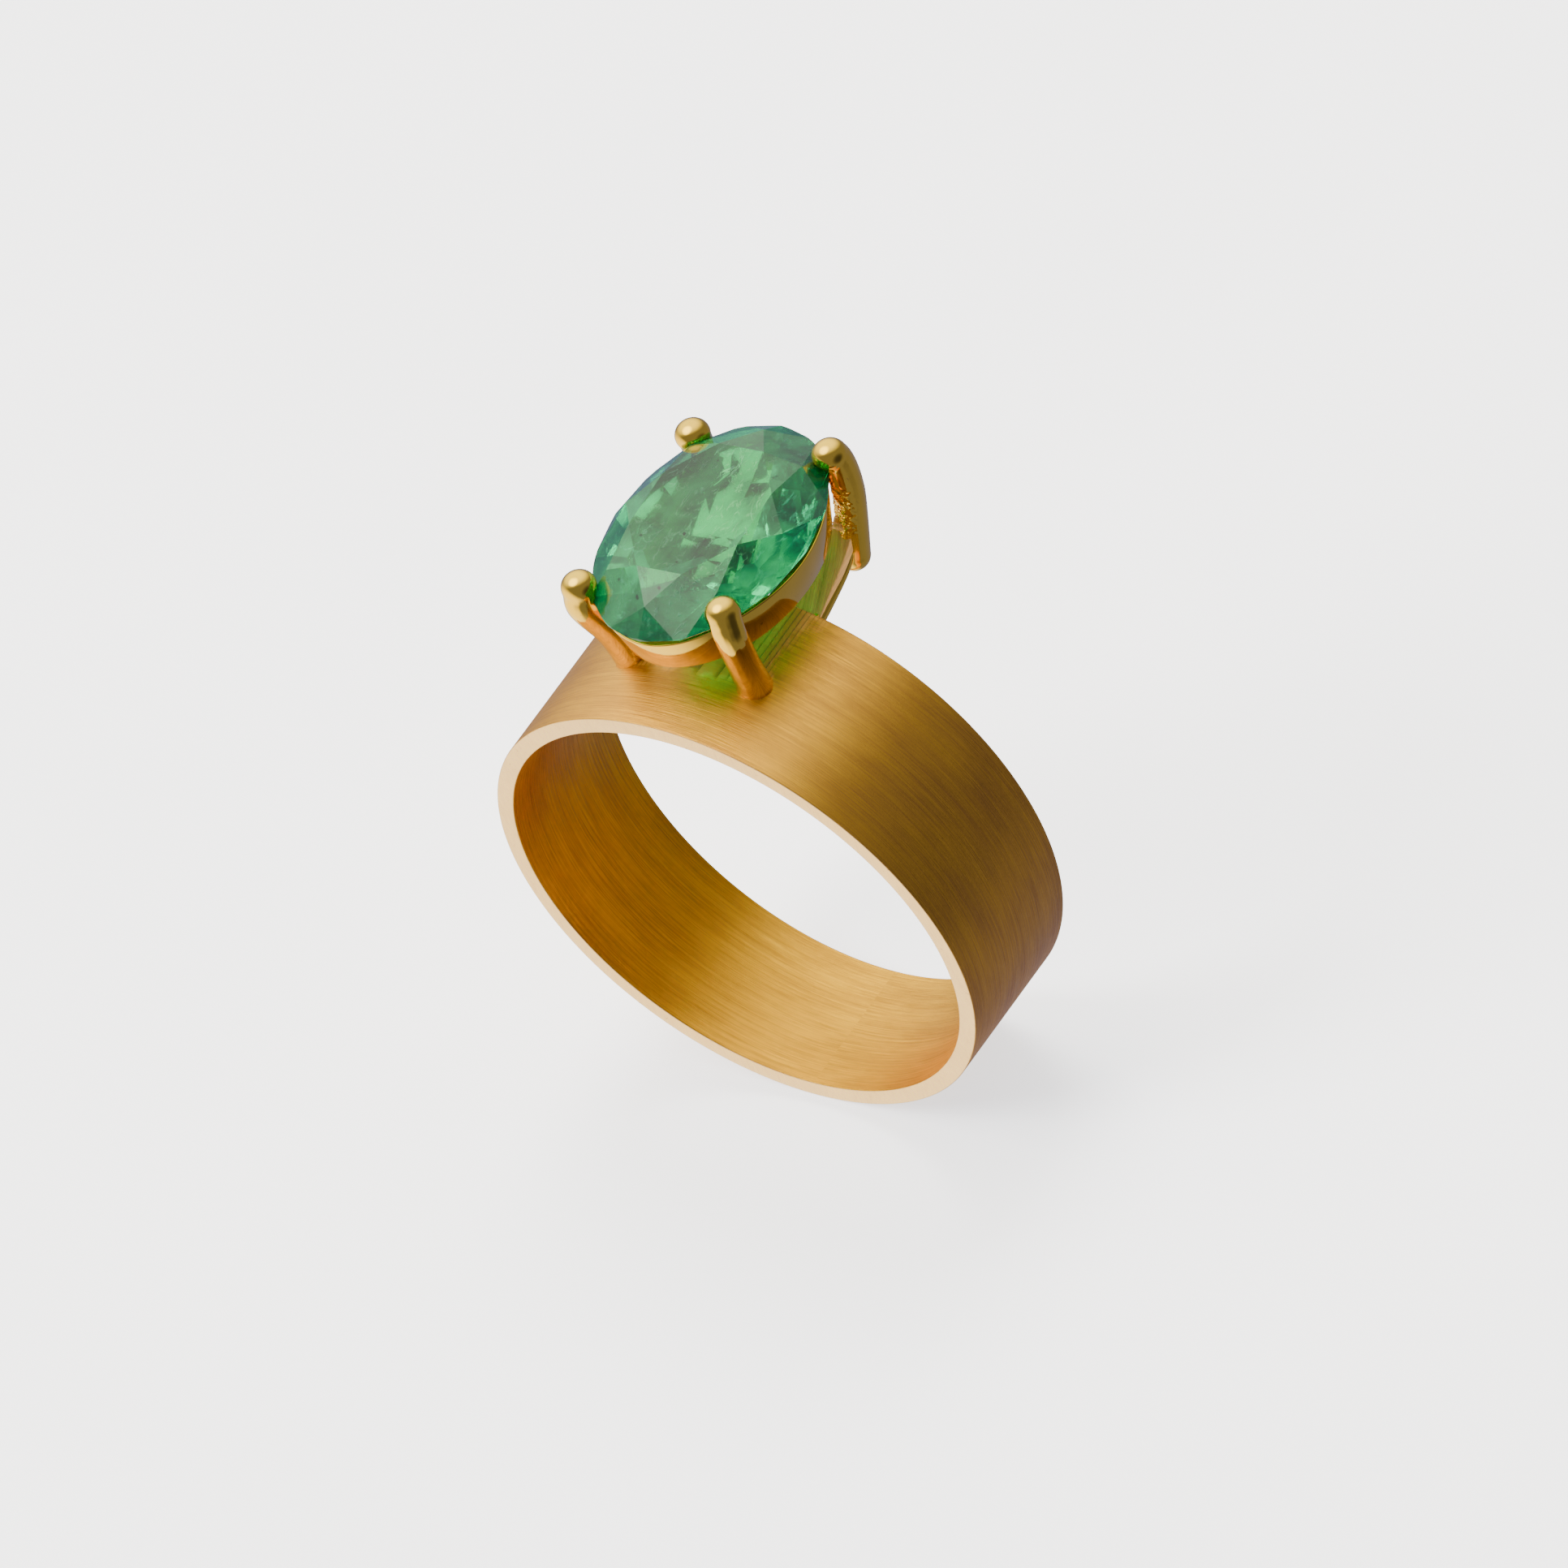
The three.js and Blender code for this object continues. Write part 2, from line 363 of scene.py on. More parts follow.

# %% [markdown]
# ## Satin gold
# The metal is the same everywhere, and only its surface changes. The satin finish has the brush
# strokes in its height and in its gloss, and the shader spreads reflections across them. Under
# the head no brush can reach, so the crown of the band keeps the fine level steps of its casting
# model. There the colour is painted a darker gold as painted shade under the head, and the foot
# of each step gets a dark line of painted shade.

# %% Satin gold for the band
SATIN_LIGHT = (1.0, 0.53, 0.04, 1)
SATIN_DEEP = (0.66, 0.32, 0.045, 1)
INSIDE_LIGHT = (1.0, 0.54, 0.015, 1)
INSIDE_DEEP = (0.66, 0.33, 0.02, 1)
STEP_HEIGHT = 0.045
STEP_DEPTH = 7.0
STROKE_DEPTH = 0.000012
# Painted shade: the crown under the head is painted this darker gold.
CROWN_SHADE_GOLD = (0.80, 0.38, 0.06, 1)
# Painted shade for the crease at the foot of each cast step.
CROWN_STEP_SHADE = (0.16, 0.09, 0.012, 1)
CROWN_DULLNESS = 0.5
CROWN_HALF_WIDTH = (2.55, 3.25)
CROWN_FRONT = (-0.9, -0.2)


def satin_gold(name, light, deep, crown_steps=False, metallic=1):
    """With crown_steps the metallic value comes from the crown's mask, not from the argument."""
    material, tree, shader = new_material(name)
    along = add_node(tree, "ShaderNodeUVMap", uv_map="around").outputs["UV"]
    brush = add_node(tree, "ShaderNodeGroup", node_tree=BRUSH)
    tree.links.new(along, brush.inputs["Map"])
    brush.inputs["Fineness"].default_value = 1.0
    strokes = brush.outputs["Strokes"]
    patches = brush.outputs["Patches"]
    tone = math_node(tree, "ADD", math_node(tree, "MULTIPLY", strokes, 0.55), patches)
    tone = map_range(tree, tone, 0.45, 1.05)
    colour = mix_colour(tree, tone, deep, light)
    rough = map_range(tree, strokes, 0.0, 1.0, 0.44, 0.33)
    height = strokes
    if crown_steps:
        mask, steps = crown(tree)
        # Painted shade under the head: the crown is mixed towards a darker gold.
        colour = mix_colour(tree, math_node(tree, "MULTIPLY", mask, 0.8), colour, CROWN_SHADE_GOLD)
        # Painted shade in the crease at the foot of each step of the crown.
        corner = math_node(tree, "MULTIPLY", map_range(tree, steps, 0.0, 0.35, 0.75, 0.0), mask)
        colour = mix_colour(tree, corner, colour, CROWN_STEP_SHADE)
        rough = math_node(tree, "ADD", rough, math_node(tree, "MULTIPLY", mask, 0.05))
        metal = math_node(tree, "MULTIPLY", mask, CROWN_DULLNESS)
        metal = math_node(tree, "SUBTRACT", 1.0, metal)
        tree.links.new(metal, shader.inputs["Metallic"])
        deep_steps = math_node(tree, "MULTIPLY", steps, STEP_DEPTH)
        blend = {0: mask, 2: strokes, 3: deep_steps}
        height = add_node(tree, "ShaderNodeMix", blend, data_type="FLOAT").outputs[0]
    relief = {"Height": height, "Strength": 0.6, "Distance": STROKE_DEPTH}
    bump = add_node(tree, "ShaderNodeBump", relief)
    tree.links.new(colour, shader.inputs["Base Color"])
    tree.links.new(rough, shader.inputs["Roughness"])
    tree.links.new(bump.outputs["Normal"], shader.inputs["Normal"])
    tangent = add_node(tree, "ShaderNodeTangent", direction_type="UV_MAP", uv_map="around")
    tree.links.new(tangent.outputs["Tangent"], shader.inputs["Tangent"])
    if not crown_steps:
        shader.inputs["Metallic"].default_value = metallic
    shader.inputs["Anisotropic"].default_value = 0.5
    shader.inputs["Anisotropic Rotation"].default_value = 0.25
    return material


def crown(tree):
    """Where the brush could not reach, and the level steps that show there."""
    place = add_node(tree, "ShaderNodeTexCoord").outputs["Object"]
    parts = add_node(tree, "ShaderNodeSeparateXYZ", {0: place})
    x, y, z = (math_node(tree, "MULTIPLY", parts.outputs[i], 1000.0) for i in range(3))
    ragged = noise(tree, stretched(tree, place, (900, 900, 900)), 1.0, detail=3)
    ragged = map_range(tree, ragged, 0.3, 0.7, -0.35, 0.35)
    from_side = math_node(tree, "ABSOLUTE", math_node(tree, "ADD", x, 0.35))
    from_side = math_node(tree, "ADD", from_side, ragged)
    sides = map_range(tree, from_side, *CROWN_HALF_WIDTH, 1.0, 0.0, smooth=True)
    front = map_range(tree, math_node(tree, "ADD", y, ragged), *CROWN_FRONT, smooth=True)
    top = map_range(tree, z, 5.0, 6.0)
    mask = math_node(tree, "MULTIPLY", math_node(tree, "MULTIPLY", sides, front), top)
    wobble = noise(tree, stretched(tree, place, (700, 150, 700)), 1.0, detail=2)
    level = math_node(tree, "ADD", z, math_node(tree, "MULTIPLY", wobble, 0.02))
    steps = math_node(tree, "FRACT", math_node(tree, "DIVIDE", level, STEP_HEIGHT))
    return mask, steps


BAND_OUTSIDE = satin_gold("satin_gold_outside", SATIN_LIGHT, SATIN_DEEP, crown_steps=True)
BAND_INSIDE = satin_gold("satin_gold_inside", INSIDE_LIGHT, INSIDE_DEEP)
print("satin finishes", BAND_OUTSIDE.name, BAND_INSIDE.name)

# %% [markdown]
# ## Polished gold
# A buffing wheel leaves a mirror that is never quite flat. The finish could be a plain shiny
# metal, but then a ball and a wire look like plastic. Here a slow wave bends the reflections a
# little, fine hairlines change the gloss, and a few dull pits are left from the casting. The
# filed rims of the band use the same finish, less glossy, and their paler colour is a painted
# sheen.

# %% Polished gold
POLISHED = (1.0, 0.66, 0.06, 1)
# The rims' paler, peach colour is a painted sheen.
RIM_SHEEN_COLOUR = (1.0, 0.70, 0.30, 1)
PIT_COLOUR = (0.35, 0.18, 0.07, 1)
WAVE_DEPTH = 0.00004


def polished_gold(name, colour=POLISHED, roughness=0.07, waves=0.14):
    material, tree, shader = new_material(name)
    place = add_node(tree, "ShaderNodeTexCoord").outputs["Object"]
    wave = noise(tree, place, 900, detail=2)
    hair = noise(tree, stretched(tree, place, (9000, 1500, 2500), (0.3, 0.2, 0.5)), 1.0, detail=3)
    pits = noise(tree, place, 5200, detail=3)
    speck = map_range(tree, pits, 0.68, 0.78)
    dimmer = tuple(c * 0.93 for c in colour[:3]) + (1,)
    tint = mix_colour(tree, map_range(tree, wave, 0.3, 0.7), colour, dimmer)
    tint = mix_colour(tree, math_node(tree, "MULTIPLY", speck, 0.5), tint, PIT_COLOUR)
    rough = map_range(tree, hair, 0.3, 0.8, roughness * 0.7, roughness * 1.9)
    height = math_node(tree, "ADD", wave, math_node(tree, "MULTIPLY", hair, 0.04))
    height = math_node(tree, "SUBTRACT", height, math_node(tree, "MULTIPLY", speck, 0.08))
    relief = {"Height": height, "Strength": waves, "Distance": WAVE_DEPTH}
    bump = add_node(tree, "ShaderNodeBump", relief)
    tree.links.new(tint, shader.inputs["Base Color"])
    tree.links.new(rough, shader.inputs["Roughness"])
    tree.links.new(bump.outputs["Normal"], shader.inputs["Normal"])
    shader.inputs["Metallic"].default_value = 1
    return material


POLISHED_GOLD = polished_gold("polished_gold")
RIM_GOLD = polished_gold("rim_gold", colour=RIM_SHEEN_COLOUR, roughness=0.24, waves=0.1)
print("polished finishes", POLISHED_GOLD.name, RIM_GOLD.name)

# %% [markdown]
# ## The band
# A goldsmith bends a strip into a hoop and files its two rims flat. The hoop here starts as an
# open cylinder. Two leaning planes cut it to width, which makes the band wider under the head. A
# wall is then added on the inside, and its edges get the small soft bevel of hand filing.

# %% The band
BAND_SIDES = 360
BAND_EDGE = 0.06
BLANK_LENGTH = 9
OUTSIDE, INSIDE, RIM = range(3)


def model_band():
    start_clean()
    bpy.ops.mesh.primitive_cylinder_add(
        vertices=BAND_SIDES,
        radius=BAND_OUTER,
        depth=BLANK_LENGTH,
        end_fill_type="NOTHING",
        rotation=(math.pi / 2, 0, 0),
    )
    band = bpy.context.object
    bake_place(band)
    edit(band)
    for side in (-1, 1):
        bpy.ops.mesh.select_all(action="SELECT")
        bpy.ops.mesh.bisect(
            plane_co=(0, side * BAND_HALF, 0),
            plane_no=(0, side, -BAND_TAPER),
            clear_outer=True,
            threshold=1e-5,
        )
    leave_edit()
    apply_modifier(band, "SOLIDIFY", thickness=BAND_WALL, offset=-1)
    soften(band, BAND_EDGE, 4)
    return band


def map_round(piece):
    """A flat map in millimetres: u runs round the finger axis and v along it."""
    layer = piece.data.uv_layers.new(name="around")
    for face in piece.data.polygons:
        middle = math.atan2(face.center.x, face.center.z)
        for corner in face.loop_indices:
            point = piece.data.vertices[piece.data.loops[corner].vertex_index].co
            angle = math.atan2(point.x, point.z)
            angle += math.tau * round((middle - angle) / math.tau)
            layer.data[corner].uv = (angle * BAND_OUTER, point.y)


def finish_of_band_face(face):
    outward = Vector((face.center.x, 0, face.center.z)).normalized()
    facing = face.normal.dot(outward)
    if abs(facing) < 0.8:
        return RIM
    return OUTSIDE if facing > 0 else INSIDE


band = model_band()
map_round(band)
band_finishes = [finish_of_band_face(face) for face in band.data.polygons]
finishes = [BAND_OUTSIDE, BAND_INSIDE, RIM_GOLD]
hand_over(band, "band_hoop", ["band"], finishes, smooth=25)
band.data.polygons.foreach_set("material_index", band_finishes)
print("rim faces", band_finishes.count(RIM))

# %% [markdown]
# ## The emerald
# A cutter grinds one flat facet after another on to an oval blank. The stone is cut here in the
# same way: a round blank is cut by one plane for each facet, and the finished round stone is
# drawn out to an oval, which keeps every facet flat. The facets stay unsmoothed, because a cut
# stone has no curves.


# %% Cutting the emerald
TABLE_RADIUS = 0.62
GIRDLE_HALF = 0.016


def cut_facet(azimuth, steepness, through):
    """Grinds one flat facet: its direction, its angle from level, and a point it passes through."""
    normal = Vector((
        math.sin(steepness) * math.cos(azimuth),
        math.sin(steepness) * math.sin(azimuth),
        math.cos(steepness),
    ))
    bpy.ops.mesh.select_all(action="SELECT")
    bpy.ops.mesh.bisect(
        plane_co=through, plane_no=normal, use_fill=True, clear_outer=True, threshold=1e-6
    )


def cut_round(count, steepness, radius, height, turn=0.0):
    for index in range(count):
        azimuth = math.tau * (index + turn) / count
        through = (radius * math.cos(azimuth), radius * math.sin(azimuth), height)
        cut_facet(azimuth, steepness, through)


def model_emerald():
    """The stone is cut one unit in radius, and then drawn out to its oval."""
    crown_height = STONE_CROWN / STONE_HALF_WIDTH
    keel_depth = STONE_PAVILION / STONE_HALF_WIDTH
    between = math.cos(math.pi / 16)
    table_flat = TABLE_RADIUS * math.cos(math.pi / 8)
    start_clean()
    bpy.ops.mesh.primitive_cylinder_add(vertices=96, radius=1, depth=2)
    stone = bpy.context.object
    edit(stone, "FACE")
    cut_facet(0, 0, (0, 0, crown_height))
    cut_round(16, math.radians(47), between, GIRDLE_HALF, turn=0.5)
    cut_round(8, math.radians(39.1), TABLE_RADIUS, crown_height, turn=0.5)
    cut_round(8, math.radians(24.9), table_flat, crown_height)
    cut_round(16, math.pi - math.radians(47), between, -GIRDLE_HALF, turn=0.5)
    cut_round(8, math.pi - math.radians(34), TABLE_RADIUS, -keel_depth * 0.55, turn=0.5)
    cut_facet(0, math.pi, (0, 0, -keel_depth))
    leave_edit()
    stone.scale = (STONE_HALF_WIDTH, STONE_HALF_LENGTH, STONE_HALF_WIDTH)
    bake_place(stone, IN_HEAD)
    return stone


# %% [markdown]
# ## The emerald's finish
# Emerald is a deep green glass to look through, with an inner garden of cracks, clouds and dark
# specks. The shader bends light as beryl does, and a fifth of it is body colour, which is how a
# clouded stone glows. The keel is painted a warmer olive, a painted reflection of the gold below
# it. A crack is the narrow middle of a folded noise. Each set of cracks shows only in patches, so
# that they come out as short feathers and not as long loops. The specular level is low, so that
# the sky does not wash out the green.

# %% The emerald's finish
EMERALD_DEEP = (0.0, 0.065, 0.022, 1)
EMERALD_BRIGHT = (0.0, 0.34, 0.09, 1)
EMERALD_FEATHER = (0.03, 0.52, 0.27, 1)
EMERALD_SPECK = (0.0, 0.025, 0.012, 1)
# Painted reflection of the gold below the stone, for its keel.
EMERALD_KEEL_REFLECTION = (0.20, 0.32, 0.03, 1)
GIRDLE_HEIGHT = HEAD.z * 0.001
KEEL_HEIGHT = (HEAD.z - STONE_PAVILION * 0.6) * 0.001
CRACK_DEPTH = 0.00002


def feathers(tree, place, scale, turn, width):
    """Short thin cracks, from 0 to 1: a folded noise, shown only in patches."""
    drawn = stretched(tree, place, scale, turn)
    folded = noise(tree, drawn, 1.0, detail=5, rough=0.6, distortion=1.6)
    crack = math_node(tree, "ABSOLUTE", math_node(tree, "SUBTRACT", folded, 0.5))
    crack = map_range(tree, crack, 0.0, width, 1.0, 0.0, smooth=True)
    patch = map_range(tree, noise(tree, drawn, 2.3, detail=2), 0.5, 0.62, smooth=True)
    return math_node(tree, "MULTIPLY", crack, patch)


def emerald_finish():
    material, tree, shader = new_material("emerald")
    place = add_node(tree, "ShaderNodeTexCoord").outputs["Object"]
    clouds = noise(tree, place, 420, detail=5, distortion=0.8)
    long_cracks = feathers(tree, place, (620, 240, 620), (0.5, 0.3, 0.9), 0.014)
    fine_cracks = feathers(tree, place, (1500, 800, 1500), (0.1, 0.6, -0.7), 0.03)
    cracks = math_node(tree, "MAXIMUM", long_cracks, math_node(tree, "MULTIPLY", fine_cracks, 0.6))
    specks = map_range(tree, noise(tree, place, 2600, detail=1), 0.72, 0.78)
    green = mix_colour(tree, map_range(tree, clouds, 0.35, 0.65), EMERALD_DEEP, EMERALD_BRIGHT)
    green = mix_colour(tree, math_node(tree, "MULTIPLY", cracks, 0.55), green, EMERALD_FEATHER)
    green = mix_colour(tree, specks, green, EMERALD_SPECK)
    height = add_node(tree, "ShaderNodeSeparateXYZ", {0: place}).outputs["Z"]
    # Painted reflection: the keel is tinted towards the gold below it.
    keel_reflection = map_range(tree, height, GIRDLE_HEIGHT, KEEL_HEIGHT, 0.0, 0.85, smooth=True)
    green = mix_colour(tree, keel_reflection, green, EMERALD_KEEL_REFLECTION)
    rough = map_range(tree, clouds, 0.4, 0.7, 0.02, 0.09)
    relief = {"Height": cracks, "Strength": 0.12, "Distance": CRACK_DEPTH}
    bump = add_node(tree, "ShaderNodeBump", relief)
    tree.links.new(green, shader.inputs["Base Color"])
    tree.links.new(rough, shader.inputs["Roughness"])
    tree.links.new(bump.outputs["Normal"], shader.inputs["Normal"])
    shader.inputs["Transmission Weight"].default_value = 0.8
    shader.inputs["IOR"].default_value = 1.58
    shader.inputs["Specular IOR Level"].default_value = 0.32
    return material


EMERALD = emerald_finish()
emerald = model_emerald()
print("emerald facets", len(emerald.data.polygons))

# %% [markdown]
# ## The seat
# A setter cuts a groove into every piece of metal that touches the stone, so that the stone lies
# in it without a gap. The same is done here: a copy of the stone, swollen a little, is taken away
# from the collar and from each claw with a boolean.


# %% A cutter in the stone's shape
SEAT_CLEARANCE = 0.015


def stone_cutter(clearance):
    """A slightly swollen copy of the stone, for cutting its seat into the metal."""
    cutter = emerald.copy()
    cutter.data = emerald.data.copy()
    bpy.context.collection.objects.link(cutter)
    swell = Matrix.Diagonal((
        1 + clearance / STONE_HALF_WIDTH,
        1 + clearance / STONE_HALF_LENGTH,
        1 + clearance / STONE_CROWN,
        1,
    ))
    cutter.data.transform(IN_HEAD @ swell @ IN_HEAD.inverted())
    return cutter


SEAT_CUTTER = stone_cutter(SEAT_CLEARANCE)
print("seat clearance in mm", SEAT_CLEARANCE)


def cut_seat(piece):
    start_clean()
    apply_modifier(piece, "BOOLEAN", operation="DIFFERENCE", solver="EXACT", object=SEAT_CUTTER)


# %% [markdown]
# ## The collar
# Under the girdle runs a polished oval ring, the seat of the stone. A strip of it is drawn as a
# circle, extruded down and drawn in, then drawn out to the oval. Its upper edge dips between the
# claws, as it does where a file has opened the light. A wall, soft edges and the seat finish it.

# %% The collar
COLLAR_SIDES = 144
COLLAR_EDGE = 0.06
COLLAR_INSET = 0.08


def model_collar():
    top = STONE_HALF_WIDTH - COLLAR_INSET
    foot_share = (top - COLLAR_TAPER) / top
    start_clean()
    bpy.ops.mesh.primitive_circle_add(
        vertices=COLLAR_SIDES, radius=top, location=(0, 0, COLLAR_TOP)
    )
    collar = bpy.context.object
    edit(collar, "EDGE")
    bpy.ops.mesh.select_all(action="SELECT")
    bpy.ops.mesh.extrude_region_move(TRANSFORM_OT_translate={"value": (0, 0, -COLLAR_HEIGHT)})
    bpy.ops.transform.resize(value=(foot_share, foot_share, 1), center_override=(0, 0, 0))
    leave_edit()
    bake_place(collar)
    for point in collar.data.vertices:
        if point.co.z > COLLAR_TOP - 0.01:
            point.co.z -= COLLAR_DIP * math.cos(2 * math.atan2(point.co.y, point.co.x)) ** 2
    collar.data.transform(Matrix.Diagonal((1, STONE_HALF_LENGTH / STONE_HALF_WIDTH, 1, 1)))
    edit(collar)
    bpy.ops.mesh.select_all(action="SELECT")
    bpy.ops.mesh.normals_make_consistent(inside=False)
    leave_edit()
    start_clean()
    apply_modifier(collar, "SOLIDIFY", thickness=COLLAR_WALL, offset=-1, use_even_offset=True)
    soften(collar, COLLAR_EDGE, 3)
    bake_place(collar, IN_HEAD)
    cut_seat(collar)
    return collar


hand_over(model_collar(), "stone_collar", ["collar"], [POLISHED_GOLD], smooth=35)

# %% [markdown]
# ## Wire work
# Claws and braces start as round wire. One point is extruded along a smooth line, the line
# becomes a curve with a round section, and each point of it gets its own thickness. The wire is
# then a mesh.


# %% Wire work
def smooth_line(points, steps=10):
    """A smooth line through the points, each passed with the direction of its neighbours."""
    line = []
    ends = [points[0] * 2 - points[1], *points, points[-1] * 2 - points[-2]]
    for before, start, stop, after in zip(ends, ends[1:], ends[2:], ends[3:]):
        for step in range(steps):
            t = step / steps
            bend = before * 2 - start * 5 + stop * 4 - after
            twist = start * 3 - before - stop * 3 + after
            line.append((start * 2 + (stop - before) * t + bend * t ** 2 + twist * t ** 3) / 2)
    return [*line, points[-1]]


def draw_wire(line, thickness):
    """thickness(share) is the radius of the wire at a share of the way along the line."""
    start_clean()
    bpy.ops.mesh.primitive_plane_add(size=0.1, location=line[0])
    wire = bpy.context.object
    bake_place(wire)
    edit(wire)
    bpy.ops.mesh.select_all(action="SELECT")
    bpy.ops.mesh.merge(type="CENTER")
    for start, stop in zip(line, line[1:]):
        bpy.ops.mesh.extrude_region_move(TRANSFORM_OT_translate={"value": stop - start})
    leave_edit()
    bpy.ops.object.convert(target="CURVE")
    wire = bpy.context.object
    wire.data.bevel_depth = 1
    wire.data.bevel_resolution = 6
    wire.data.use_fill_caps = True
    points = wire.data.splines[0].points
    for point in points:
        place = Vector(point.co[:3])
        nearest = min(range(len(line)), key=lambda i: (line[i] - place).length)
        point.radius = thickness(nearest / (len(line) - 1))
    bpy.ops.object.convert(target="MESH")
    return bpy.context.object


def add_ball(centre, radius, squash=1.0):
    start_clean()
    bpy.ops.mesh.primitive_uv_sphere_add(
        segments=48, ring_count=32, radius=radius, location=centre, scale=(1, 1, squash)
    )
    ball = bpy.context.object
    bake_place(ball)
    return ball


print("wire radius in mm", CLAW_RADIUS, "and ball radius", BALL_RADIUS)

# %% [markdown]
# ## The four claws
# A claw holds the stone by a ball that is bent over the girdle. Below it the front claws run down
# to the band and spread on to it, and the back claws end in a rounded foot behind the band. Ball
# and wire are fused with a fine remesh and smoothed, which gives the soft joints of cast metal.
# The back claws' inner sides were never polished, so they keep a crumbly skin, pushed out and in
# by a cloud texture.

# %% Claw lines
ROOT_SINK = 0.25
NECK_GROWTH = 0.03
NECK_SHARE = 0.3
SPREAD_SHARE = 0.45
SPREAD_GROWTH = 0.2


def claw_point(tip, out, height):
    outward = Vector(tip).normalized()
    return IN_HEAD @ Vector((tip[0] + outward.x * out, tip[1] + outward.y * out, height))


def front_line(tip, foot, swing, bow):
    shoulder = claw_point(tip, swing, -0.4)
    root = Vector((foot[0], foot[1], math.sqrt(BAND_OUTER ** 2 - foot[0] ** 2) - 0.1))
    bowed = claw_point(tip, bow, 0) - claw_point(tip, 0, 0)
    middle = root.lerp(shoulder, 0.5) + bowed
    inward = Vector((root.x, 0, root.z)).normalized()
    return [
        claw_point(tip, 0, TIP_RISE),
        claw_point(tip, 0.6 * swing, 0.2),
        shoulder,
        middle,
        root,
        root - inward * ROOT_SINK,
    ]


BACK_STATIONS = (
    (0.0, TIP_RISE),
    (0.14, 0.2),
    (0.2, -0.4),
    (0.12, -1.35),
    (-0.14, -2.5),
    (-0.42, -3.6),
    (-0.52, -3.98),
)


def back_line(tip):
    return [claw_point(tip, out, height) for out, height in BACK_STATIONS]


def back_thickness(share):
    """A plain wire, a little thicker just under its ball."""
    return CLAW_RADIUS + NECK_GROWTH * max(0.0, 1 - share / NECK_SHARE)


def front_thickness(share):
    """The same wire, but it spreads towards its root."""
    spread = max(0.0, (share - (1 - SPREAD_SHARE)) / SPREAD_SHARE)
    return back_thickness(share) + SPREAD_GROWTH * spread ** 2.2


print("back claw stations", len(BACK_STATIONS))

# %% The claws
INNER_FLAT = 0.5
INNER_TOP = 11.8
SKIN_LOW = 10.3
SKIN_HIGH = 12.4
SKIN_FADE = 0.3


def towards_stone(tip):
    return -(IN_HEAD.to_3x3() @ Vector((tip[0], tip[1], 0))).normalized()


def fuse(piece, grain=0.032, passes=24):
    apply_modifier(piece, "REMESH", mode="VOXEL", voxel_size=grain)
    apply_modifier(piece, "SMOOTH", factor=0.5, iterations=passes)


def flatten_inner_side(claw, tip, line):
    """Presses the side that faces the stone flat, as if filed, from the girdle to the foot."""
    inward = towards_stone(tip)
    for point in claw.data.vertices:
        axis = min(line, key=lambda p: abs(p.z - point.co.z))
        proud = (point.co - axis).dot(inward) - INNER_FLAT
        share = clamp((INNER_TOP - point.co.z) / 0.4)
        if proud > 0:
            point.co -= inward * proud * share


def roughen_inner_side(claw, tip):
    """Pushes the skin of the side that faces the stone in and out, from the arm to the girdle."""
    inward = towards_stone(tip)
    group = claw.vertex_groups.new(name="cast_skin")
    for point in claw.data.vertices:
        facing = point.normal.dot(inward)
        height = point.co.z
        inside = clamp((height - SKIN_LOW) / SKIN_FADE) * clamp((SKIN_HIGH - height) / SKIN_FADE)
        group.add([point.index], clamp(facing * 1.6) * inside, "REPLACE")
    skin = bpy.data.textures.new("cast_skin", "CLOUDS")
    skin.noise_scale = 0.24
    skin.noise_depth = 3
    apply_modifier(
        claw,
        "DISPLACE",
        texture=skin,
        texture_coords="GLOBAL",
        strength=0.11,
        mid_level=0.55,
        vertex_group="cast_skin",
    )


def model_claw(facts):
    standing = "foot" in facts
    stations = front_line(**facts) if standing else back_line(facts["tip"])
    line = smooth_line(stations)
    wire = draw_wire(line, front_thickness if standing else back_thickness)
    balls = [add_ball(line[0], BALL_RADIUS, BALL_SQUASH)]
    if not standing:
        balls.append(add_ball(line[-1], CLAW_RADIUS))
    claw = join([wire, *balls])
    fuse(claw)
    if not standing:
        flatten_inner_side(claw, facts["tip"], line)
        roughen_inner_side(claw, facts["tip"])
    cut_seat(claw)
    return claw


for claw_name, facts in CLAWS.items():
    piece_name = claw_name.replace("claw", "wire_claw")
    claw = model_claw(facts)
    hand_over(claw, piece_name, [claw_name], [POLISHED_GOLD], smooth=40)

# %% [markdown]
# ## The arms
# From the far rim a satin strip sweeps up to each back claw. At the band it lies flush with the
# round crown, so it starts tipped to one side, and it levels out on its way up. An edge is
# extruded along the line of its upper face, and a wall and soft edges are added to the sheet.

# %% The line of an arm
ARM_WIDTH = 0.85
ARM_THICKNESS = 0.42
ARM_EDGE = 0.05
ARM_ROOT = 2.3
ARM_STEPS = 14
ROOT_SPREAD = 0.45


def bezier_point(a, b, c, d, t):
    u = 1 - t
    return a * u ** 3 + b * 3 * u * u * t + c * 3 * u * t * t + d * t ** 3


def arm_line(tip, side):
    meet = back_line(tip)[4]
    rim = half_width_at(BAND_OUTER) - 0.1
    crown = math.sqrt(BAND_OUTER ** 2 - 2.6 ** 2)
    corners = [
        Vector((side * ARM_ROOT, rim, crown + 0.02)),
        Vector((side * ARM_ROOT, rim + 0.9, crown + 0.45)),
        Vector((side * ARM_ROOT, meet.y - 0.7, crown + 0.8)),
        Vector((side * ARM_ROOT, meet.y - 0.15, meet.z + 0.1)),
    ]
    sunk = Vector((side * ARM_ROOT, rim - 0.35, crown - 0.03))
    return [sunk, *(bezier_point(*corners, step / ARM_STEPS) for step in range(ARM_STEPS + 1))]


print("arm line points", len(arm_line(CLAWS["claw_back_right"]["tip"], 1)))


